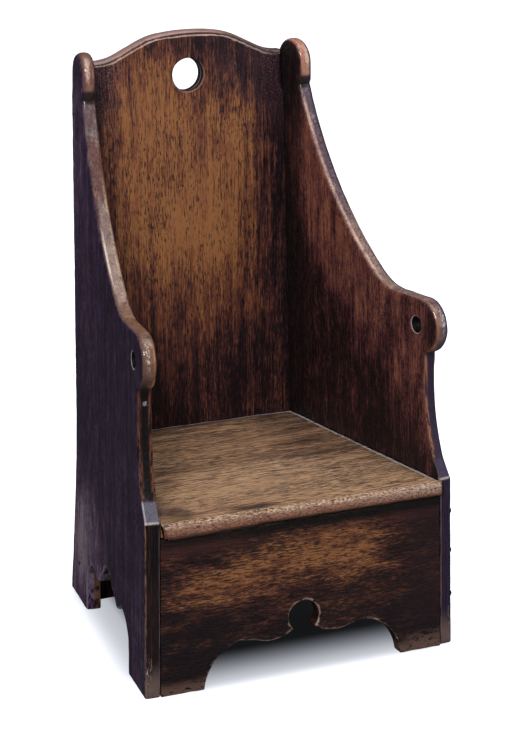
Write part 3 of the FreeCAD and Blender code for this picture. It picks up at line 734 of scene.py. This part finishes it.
back = sawn_board("back", "back_board", BACK_LAY, back_rounding, 8, 0.4, 0.7)
back_material, tree, shader = board_material("back_finish")
position, own = lay_nodes(tree, BACK_LAY, (0, 1, 2))
rub = patches(tree, position, 0.1, [(-12, 485, 98, 112, 0.44), (-10, 455, 92, 120, 0.28),
                                    (-5, 350, 88, 90, 0.28), (-60, 590, 60, 30, 0.22),
                                    (62, 588, 60, 44, -0.15), (96, 500, 20, 140, -0.14),
                                    (63, 507, 24, 50, 0.2), (-54, 536, 44, 26, 0.12),
                                    (46, 352, 44, 64, 0.13), (17, 500, 5, 90, -0.16)])
around = from_middle(tree, own[0], reckon(tree, "SUBTRACT", own[2], HAND_HOLE_HEIGHT))
up = facing(tree, (0, 0, 1))
crest = together(tree, rise(tree, own[2], 560, 568), rise(tree, around, 24, 26))
front_side = rise(tree, own[1], 9, 6)
rub = put(tree, "Mix", {}, {0: front_side, 2: 0.2, 3: rub}).outputs[0]
fade = rise(tree, own[0], 95, 20, 0.35, 1.0)
patchy = rise(tree, spread(tree, position, (20, 20, 20), 3.0, 0.6), 0.3, 0.6, 0.5, 1.0)
ear_side = rise(tree, reckon(tree, "ABSOLUTE", own[0]), 70, 100)
pepper = specks(tree, position, (1.1, 2, 1.6), 0.58)
corners = together(tree, rise(tree, own[2], 500, 590), rise(tree, around, 26, 40),
                   rise(tree, spread(tree, position, (24, 24, 40), 3.0, 0.6), 0.35, 0.6))
layers = [
    # Painted shade down the right edge, next to the right side board.
    (together(tree, rise(tree, own[0], 104, 122, 0, 0.6), rise(tree, own[2], 540, 500)),
     colour(19, 16, 15)),
    (together(tree, corners, rise(tree, own[0], -40, -100, 0.12, 0.8), pepper),
     colour(150, 116, 118)),
    (together(tree, rise(tree, own[0], -10, 90), rise(tree, own[2], 530, 580),
              rise(tree, spread(tree, position, (7, 7, 34), 4.0, 0.65), 0.42, 0.62, 0, 0.85)),
     colour(62, 34, 42)),
    (together(tree, corners, rise(tree, own[0], 10, 90, 0, 0.5), pepper), colour(132, 98, 96)),
    (together(tree, rise(tree, reckon(tree, "ABSOLUTE", own[0]), 78, 116),
              rise(tree, own[2], 470, 570, 0, 0.8),
              rise(tree, spread(tree, position, (4, 4, 40), 3.0, 0.6), 0.3, 0.6, 0.55, 1.0)),
     colour(46, 27, 38)),
    (together(tree, ear_side, rise(tree, own[2], 500, 590, 0, 0.5), pepper), colour(150, 120, 122)),
    # Top of the crest's rounding: worn pale, and painted lighter where it faces up.
    (together(tree, crest, rise(tree, up, 0.50, 0.62), fade, patchy), colour(150, 114, 104)),
    # Painted shade: a dark line across the crest's rounding.
    (together(tree, crest, band(tree, up, 0.40, 0.5, 0.05)), colour(52, 32, 34)),
    # Painted highlight: a bright line low on the front of the crest's rounding.
    (together(tree, crest, band(tree, up, 0.12, 0.28, 0.06), front_side, fade, patchy),
     colour(206, 168, 150)),
    # Painted shade: the wall of the hand hole made near-black.
    (rise(tree, around, 17.9, 17.3), colour(24, 15, 19)),
    # Painted highlight: a pale line down the hand hole's wall.
    (together(tree, rise(tree, around, 18, 17.4), band(tree, own[1], 5.5, 7.5, 0.8),
              rise(tree, own[0], 2, 12, 0, 0.6)), colour(150, 140, 150)),
    (together(tree, band(tree, around, 18.2, 19.4, 0.5),
              rise(tree, reckon(tree, "SUBTRACT", own[0], own[2]), -584, -556, 0, 0.7)),
     colour(150, 112, 104)),
]
dress(tree, shader, 0.45, {
    "Position": drawn_out(tree, position, 0.7), "Seed": (7, 0, 0), "Rub": rub,
    "Streak": 0.46, "Mottle": 0.36, "Pitting": 0.45,
    "Crack": cracks(tree, position, [(13, 596, 640, 0.6), (-24, 606, 640, 0.4),
                                     (-70, 395, 510, 0.5), (-38, 480, 560, 0.35),
                                     (60, 400, 455, 0.6), (-8, 300, 345, 0.4)]),
    "Grime": colour(27, 15, 20), "Stain": colour(70, 38, 38), "Warm": colour(114, 66, 46),
    "Bare": colour(152, 100, 60)}, layers)
tree.links.new(together(tree, crest, rise(tree, up, 0.02, 0.3)), shader.inputs["Coat Weight"])
shader.inputs["Coat Roughness"].default_value = 0.16
coat_board(back, back_material)


# Front apron: a level-grained board nailed between the front feet under the seat, with a lobed
# arch and a round eye sawn into its lower edge.
APRON_FRONT = -2.1
APRON_LAY = (Matrix.Translation((0, -FRONT - APRON_FRONT, 0))
             @ Matrix.Diagonal((1000, 1000, 1000, 1)))


def apron_rounding(p, run):
    if lies_along(run, 1):
        return 1.6
    return 1.8 if p.z < 150 else 0.8


apron = sawn_board("apron", "front_apron", APRON_LAY, apron_rounding, 8, 0.4, 0.8)
apron_material, tree, shader = board_material("apron_finish")
position, own = lay_nodes(tree, APRON_LAY, (2, 1, 0))
rub = patches(tree, position, 0.12, [(135, 12, 19, 92, 0.62), (112, -15, 28, 112, 0.2),
                                     (106, -98, 22, 66, 0.46), (110, 26, 14, 62, 0.24),
                                     (80, 62, 34, 50, 0.24), (40, 0, 26, 80, 0.06)])
edge = together(tree, arris_mask(tree, position, 2.6), 0.8,
                rise(tree, facing(tree, (0, -1, 0)), 0.25, 0.5),
                rise(tree, reckon(tree, "ABSOLUTE", own[0]), 144, 138))
off_middle = reckon(tree, "ABSOLUTE", reckon(tree, "SUBTRACT", own[0], 12))
layers = [
    (together(tree, rise(tree, own[2], 138, 154, 0, 0.55), rise(tree, off_middle, 60, 95, 0.1, 1)),
     colour(74, 38, 32)),
    (together(tree, rise(tree, own[2], 100, 45, 0, 0.9), rise(tree, off_middle, 30, 100, 0.5, 1),
              rise(tree, spread(tree, position, (16, 16, 30), 3.0, 0.6), 0.7, 0.44)),
     colour(24, 15, 20)),
    (together(tree, rise(tree, own[0], 96, 140, 0, 0.6), rise(tree, own[2], 20, 40)),
     colour(42, 22, 26)),
    # Painted shadow under the seat's front edge, along the top of the apron.
    (together(tree, rise(tree, own[2], 152, 160, 0, 0.94),
              rise(tree, own[0], -100, -20, 0.8, 1.0)), colour(15, 9, 9)),
    (together(tree, rise(tree, own[2], 17, 5, 0, 0.75), specks(tree, position, (3, 3, 7), 0.36)),
     colour(110, 84, 72)),
    (together(tree, rise(tree, own[2], 26, 12, 0, 0.5), rise(tree, own[0], 110, 125),
              specks(tree, position, (4, 4, 9), 0.42)), colour(112, 86, 74)),
]
dress(tree, shader, 0.6, {
    "Position": drawn_out(tree, position, 0.6), "Seed": (3, 0, 90), "Rub": rub, "Edge": edge,
    "Streak": 0.26, "Mottle": 0.56, "Pitting": 0.66,
    "Crack": cracks(tree, position, [(128, -150, -60, 0.4), (112, 20, 120, 0.4),
                                     (98, -120, -20, 0.5), (139, -40, 60, 0.3)]),
    "Grime": colour(28, 15, 16), "Stain": colour(64, 32, 27), "Warm": colour(100, 59, 39),
    "Bare": colour(142, 92, 56), "Worn": colour(182, 152, 134)}, layers)
coat_board(apron, apron_material)


# Seat bearers: rough sawn battens that carry the seat's ends. Each is nailed to the inner face
# of its side board, under the seat, so little of it is ever seen.
def bearer_rounding(p, run):
    return 1.2


for hand, board_name in ((-1, "left_seat_bearer"), (1, "right_seat_bearer")):
    bearer = sawn_board(board_name + "_batten", board_name, side_lay(hand), bearer_rounding,
                        12, 0.2, 0.6)
    bearer_material, tree, shader = board_material(board_name + "_finish")
    position, own = lay_nodes(tree, side_lay(hand), (2, 0, 1))
    dress(tree, shader, 0.7, {
        "Position": position, "Seed": (0, 50, 20 * hand), "Rub": 0.3,
        "Edge": reckon(tree, "MULTIPLY", arris_mask(tree, position, 1.5), 0.4),
        "Grime": colour(24, 16, 18), "Stain": colour(52, 34, 28), "Warm": colour(84, 60, 44),
        "Bare": colour(112, 84, 60), "Worn": colour(118, 92, 72)})
    coat_board(bearer, bearer_material)


# Seat board: one level-grained board scrubbed dry and grey, let in between the sides, with a
# rounded front edge that stands out over the apron.
SEAT_TOP = 184
NOSING_DEPTH = 17.5
SEAT_LAY = (Matrix.Translation((0, -FRONT, -SEAT_TOP))
            @ Matrix.Diagonal((1000, 1000, 1000, 1)))


def seat_rounding(p, run):
    if lies_along(run, 2):
        return 2.5
    return 1.4


def seat_wear(p):
    """Bites out of the front edge, its left end worn away to below and sagging a little."""
    move = Vector((0, 0, 0))
    if p.y < 1:
        bite = max(0.0, noise.noise(Vector((p.x / 16, p.y / 14, 4.2))) - 0.05)
        nick = max(0.0, noise.noise(Vector((p.x / 5, p.y / 7, p.z / 6))))
        share = min(1.0, (1 - p.y) / 6)
        move.y = share * (2.2 * bite + 0.9 * nick)
        down = min(1.0, max(0.0, -p.z / NOSING_DEPTH))
        ahead = min(1.0, max(0.0, -p.y - 2.5) / 1.5)
        leftward = min(1.0, max(0.0, -40 - p.x) / 70)
        move.z = -2.6 * down * ahead * leftward
        if p.x < -138:
            move.x = 7.5 * down * min(1.0, (-138 - p.x) / 16) * min(1.0, (1 - p.y) / 3)
    return move


seat = sawn_board("seat", "seat_board", SEAT_LAY, seat_rounding, 4, 0.5, 1.0, seat_wear)
seat_material, tree, shader = board_material("seat_finish")
position, own = lay_nodes(tree, SEAT_LAY, (1, 2, 0))
rub = patches(tree, position, 0.7, [(54, 0, 88, 170, 0.22), (60, -70, 30, 60, 0.16),
                                    (7, 0, 8, 170, -0.16),
                                    (190, -62, 42, 60, 0.26), (140, 80, 34, 60, -0.38),
                                    (24, 80, 26, 60, 0.14),
                                    (235, 95, 60, 36, -0.28), (272, 0, 14, 150, -0.3),
                                    (120, 40, 14, 40, -0.12)])
smudges = patches(tree, position, 0.0, [(6, -50, 6, 24, 0.85), (112, -103, 6, 12, 0.6),
                                        (18, -128, 20, 12, 0.7), (24, 70, 5, 14, 0.35),
                                        (136, -94, 5, 10, 0.4)])
far = arris_distance(tree)
border = rise(tree, spread(tree, position, (9, 9, 30), 3.0, 0.6), 0.3, 0.7, 5, 22)
dirt = rise(tree, reckon(tree, "DIVIDE", far, border), 1.0, 0.1, 0.0, 0.62)
dirt = together(tree, dirt, rise(tree, own[1], 8, 24))
top_side = rise(tree, facing(tree, (0, 0, 1)), 0.6, 0.9)
pitted = spread(tree, position, (1.5, 1.5, 3.2), 4.0, 0.7)
nose = rise(tree, own[1], 0, -4)
seam = rise(tree, own[0], 60, 130, 2.6, 4.6)
joint = together(tree, rise(tree, reckon(tree, "DIVIDE", far, seam), 1.2, 0.9),
                 rise(tree, own[1], 2, 8), rise(tree, own[2], -4, -2),
                 rise(tree, spread(tree, position, (8, 8, 14), 3.0, 0.65), 0.34, 0.5, 0.35, 0.95))
# Painted highlights: fine glints on the front half of the seat's top.
painted_glints = together(tree, top_side, specks(tree, position, (0.9, 3, 12), 0.56),
                  patches(tree, position, 0.12, [(60, 20, 40, 120, 0.5), (112, -10, 22, 90, 0.6)]))
layers = [
    (painted_glints, colour(206, 182, 154)),
    (dirt, colour(74, 54, 50)),
    (together(tree, rise(tree, own[0], -122, -142, 0, 0.45), top_side), colour(88, 68, 70)),
    (together(tree, smudges, top_side), colour(58, 44, 44)),
    # Top of the nosing: worn pale, and painted lighter where it catches the light.
    (together(tree, nose, rise(tree, own[2], -1, -4)), colour(166, 130, 108)),
    (together(tree, nose, rise(tree, own[2], -4, -10)), colour(142, 96, 76)),
    # Painted shade: the nosing darkens towards its underside.
    (together(tree, nose, rise(tree, own[2], -12, -17), 0.8), colour(84, 54, 44)),
    # Painted highlights: glints between the pits of the nosing.
    (together(tree, nose, band(tree, own[2], -6, 1, 1.5), rise(tree, pitted, 0.52, 0.62)),
     colour(212, 188, 166)),
    (together(tree, nose, band(tree, own[2], -13, -6, 1.5), rise(tree, pitted, 0.54, 0.62, 0, 0.8)),
     colour(176, 138, 118)),
    # Painted highlight on the lower front of the nosing's right half.
    (together(tree, nose, rise(tree, own[0], 20, 130, 0, 0.35), rise(tree, own[2], -14, -8)),
     colour(190, 164, 148)),
    (together(tree, nose, rise(tree, pitted, 0.47, 0.39, 0, 0.85)), colour(64, 40, 34)),
    (joint, colour(182, 174, 172)),
    (together(tree, rise(tree, own[0], -122, -134), band(tree, own[1], 2, 12, 5), top_side, 0.5),
     colour(150, 122, 66)),
]
dress(tree, shader, 0.9, {
    "Position": drawn_out(tree, position, 0.4), "Seed": (11, 0, 30),
    "Rub": rub, "Streak": 0.52, "Mottle": 0.42, "Pitting": 0.6,
    "Crack": cracks(tree, position, [(75, -120, -10, 0.4), (118, -60, 90, 0.4),
                                     (30, -20, 120, 0.4), (170, -100, 20, 0.35)]),
    "Grime": colour(62, 46, 40), "Stain": colour(112, 84, 66), "Warm": colour(152, 114, 87),
    "Bare": colour(188, 148, 112)}, layers)
coat_board(seat, seat_material)


# Nails: hand-forged iron, rusted almost black, driven through one board into the next. Their
# flat heads stand just proud of the wood.
iron, tree, shader = board_material("forged_iron")
place = put(tree, "TexCoord").outputs["Object"]
scaled = put(tree, "VectorMath", {"operation": "SCALE"}, {0: place, "Scale": 1000.0}).outputs[0]
rust = spread(tree, scaled, (1.4, 1.4, 1.4), 4.0, 0.65)
blotch = rise(tree, rust, 0.4, 0.62)
tree.links.new(tint(tree, blotch, colour(38, 32, 34), colour(78, 48, 34)),
               shader.inputs["Base Color"])
tree.links.new(rise(tree, rust, 0.35, 0.65, 0.45, 0.85), shader.inputs["Roughness"])
dents = put(tree, "Bump", {}, {"Height": rust, "Strength": 0.6, "Distance": 0.0004})
tree.links.new(dents.outputs[0], shader.inputs["Normal"])
for name in NAIL_GROUPS:
    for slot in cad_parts[name].material_slots:
        slot.material = iron


# Studio floor: plain white paper. The chair's soft shadow is drawn on it by place, from the
# middle out to the sides, and fades towards the front and the back.
SHADOW_MIDDLE = 0.012
SHADOW_HALF_WIDTH = 0.154
SHADOW_DEPTH = 0.992
SHADOW_FRONT = (-0.205, -0.074)
SHADOW_REAR = (0.26, 0.13)
bm = bmesh.new()
bmesh.ops.create_grid(bm, x_segments=1, y_segments=1, size=6)
floor_mesh = bpy.data.meshes.new("floor")
bm.to_mesh(floor_mesh)
bm.free()
floor = bpy.data.objects.new("floor", floor_mesh)
bpy.context.scene.collection.objects.link(floor)
paper = bpy.data.materials.new("floor_paper")
paper.use_nodes = True
tree = paper.node_tree
tree.nodes.clear()
rays = put(tree, "LightPath").outputs
seen = rays["Is Camera Ray"]
hidden = tint(tree, rays["Is Glossy Ray"], (0.35, 0.35, 0.35, 1), (0.12, 0.12, 0.12, 1))
place = put(tree, "SeparateXYZ", {}, {0: put(tree, "TexCoord").outputs["Object"]}).outputs
half = scaled_sum(tree, place[1], -math.tan(SIDE_TAPER), SHADOW_HALF_WIDTH)
off = reckon(tree, "ABSOLUTE", reckon(tree, "SUBTRACT", place[0], SHADOW_MIDDLE))
sideways = reckon(tree, "DIVIDE", off, half)
fading = reckon(tree, "ADD", rise(tree, sideways, 0.74, 0.9, 0, 0.52),
                rise(tree, sideways, 0.84, 1.36, 0, 0.472))
shade = together(tree, reckon(tree, "SUBTRACT", SHADOW_DEPTH, fading),
                 rise(tree, place[1], *SHADOW_FRONT), rise(tree, place[1], *SHADOW_REAR))
lift = reckon(tree, "SUBTRACT", 1, shade)
shown = tint(tree, rise(tree, lift, 0.6, 1), (0.02, 0.02, 0.024, 1), (0.72, 0.77, 0.86, 1))
matt = put(tree, "BsdfDiffuse", {}, {"Color": tint(tree, seen, hidden, shown)})
glow = put(tree, "Emission", {},
           {"Color": tint(tree, lift, (0.82, 0.86, 1, 1), (0.97, 0.98, 1, 1)),
            "Strength": reckon(tree, "MULTIPLY", seen, lift)})
both = put(tree, "AddShader", {}, {0: matt.outputs[0], 1: glow.outputs[0]})
put(tree, "OutputMaterial", {}, {"Surface": both.outputs[0]})
floor_mesh.materials.append(paper)

world = bpy.data.worlds.new("studio")
world.use_nodes = True
tree = world.node_tree
tree.nodes.clear()
rays = put(tree, "LightPath").outputs
seen = rays["Is Camera Ray"]
room = rise(tree, rays["Is Glossy Ray"], 0, 1, 0.45, 0.12)
soft = put(tree, "Background", {}, {"Color": (0.95, 0.96, 1, 1), "Strength": room})
white = put(tree, "Background", {}, {"Color": (1, 1, 1, 1), "Strength": 1.0})
mixed = put(tree, "MixShader", {}, {0: seen, 1: soft.outputs[0], 2: white.outputs[0]})
put(tree, "OutputWorld", {}, {"Surface": mixed.outputs[0]})
bpy.context.scene.world = world


# Studio lamps: a large soft box high on the left front, and weaker ones to the right and above.
def soft_box(name, spot, size, watts, aim=(0, 0, 0.3)):
    lamp = bpy.data.lights.new(name, "AREA")
    lamp.shape = "SQUARE"
    lamp.size = size
    lamp.energy = watts
    holder = bpy.data.objects.new(name, lamp)
    bpy.context.scene.collection.objects.link(holder)
    holder.location = spot
    holder.rotation_euler = (Vector(aim) - Vector(spot)).to_track_quat("-Z", "Y").to_euler()


soft_box("key_lamp", (-1.3, -1.7, 2.0), 0.7, 38)
soft_box("fill_lamp", (1.8, -1.6, 1.1), 1.4, 10)
soft_box("top_lamp", (0.2, -0.2, 2.4), 1.4, 14)


# Camera: at the height of a person standing, a little to the chair's left front.
AZIMUTH = math.radians(24.18)
PITCH = math.radians(15.35)
ROLL = math.radians(-0.58)
CAMERA_PLACE = (-0.95772, -2.18375, 0.93934)
camera = bpy.data.cameras.new("camera")
camera.lens = 115.77
camera.sensor_width = 36
camera.clip_end = 50
view = bpy.data.objects.new("camera", camera)
bpy.context.scene.collection.objects.link(view)
view.matrix_world = (Matrix.Translation(CAMERA_PLACE)
                     @ Matrix.Rotation(-AZIMUTH, 4, "Z")
                     @ Matrix.Rotation(math.pi / 2 - PITCH, 4, "X")
                     @ Matrix.Rotation(ROLL, 4, "Z"))
bpy.context.scene.camera = view
bpy.context.scene.view_settings.view_transform = "Standard"
